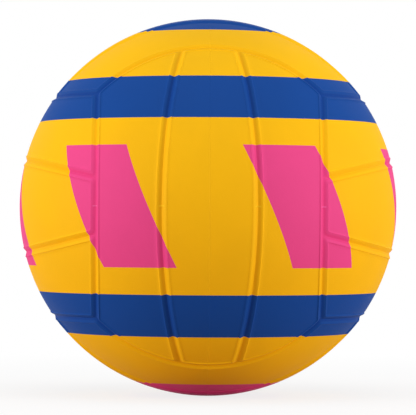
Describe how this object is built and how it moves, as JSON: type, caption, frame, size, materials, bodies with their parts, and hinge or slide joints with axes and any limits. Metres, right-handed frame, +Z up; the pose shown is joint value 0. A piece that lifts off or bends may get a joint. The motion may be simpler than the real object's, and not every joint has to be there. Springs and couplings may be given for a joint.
{
  "type": "water polo ball",
  "caption": "Inflatable water polo ball: a moulded rubber grip cover of raised strips and recessed channels over a base layer, thread winding, air bladder and needle valve.",
  "frame": {"origin": "centre of the ball", "axes": "+Z up, -Y towards the face with upright strips seen in front, +Y out through the valve at the back, +X to the right"},
  "size_m": [0.22, 0.2197, 0.22],
  "materials": {
    "cover_rubber": "matte grip rubber, yellow, printed with plain blue and pink bands",
    "base_rubber": "matte rubber, yellow",
    "nylon_thread": "wound nylon thread",
    "butyl_rubber": "smooth black butyl rubber"
  },
  "bodies": {
    "ball": {"panel_front_left": "cover_rubber", "panel_front_middle": "cover_rubber", "panel_front_right": "cover_rubber", "panel_back_left": "cover_rubber", "panel_back_middle": "cover_rubber", "panel_back_right": "cover_rubber", "panel_top_front": "cover_rubber", "panel_top_middle": "cover_rubber", "panel_top_back": "cover_rubber", "panel_bottom_front": "cover_rubber", "panel_bottom_middle": "cover_rubber", "panel_bottom_back": "cover_rubber", "panel_left_upper": "cover_rubber", "panel_left_middle": "cover_rubber", "panel_left_lower": "cover_rubber", "panel_right_upper": "cover_rubber", "panel_right_middle": "cover_rubber", "panel_right_lower": "cover_rubber", "cover_base": "base_rubber", "thread_winding": "nylon_thread", "bladder": "butyl_rubber", "valve_boss": "butyl_rubber"},
    "valve_core": {"valve_core": "butyl_rubber"}
  },
  "joints": [
    {"name": "valve_core_pull", "type": "slide", "parent": "ball", "child": "valve_core", "axis": [0, 1, 0], "range_m": [0, 0.025]}
  ]
}
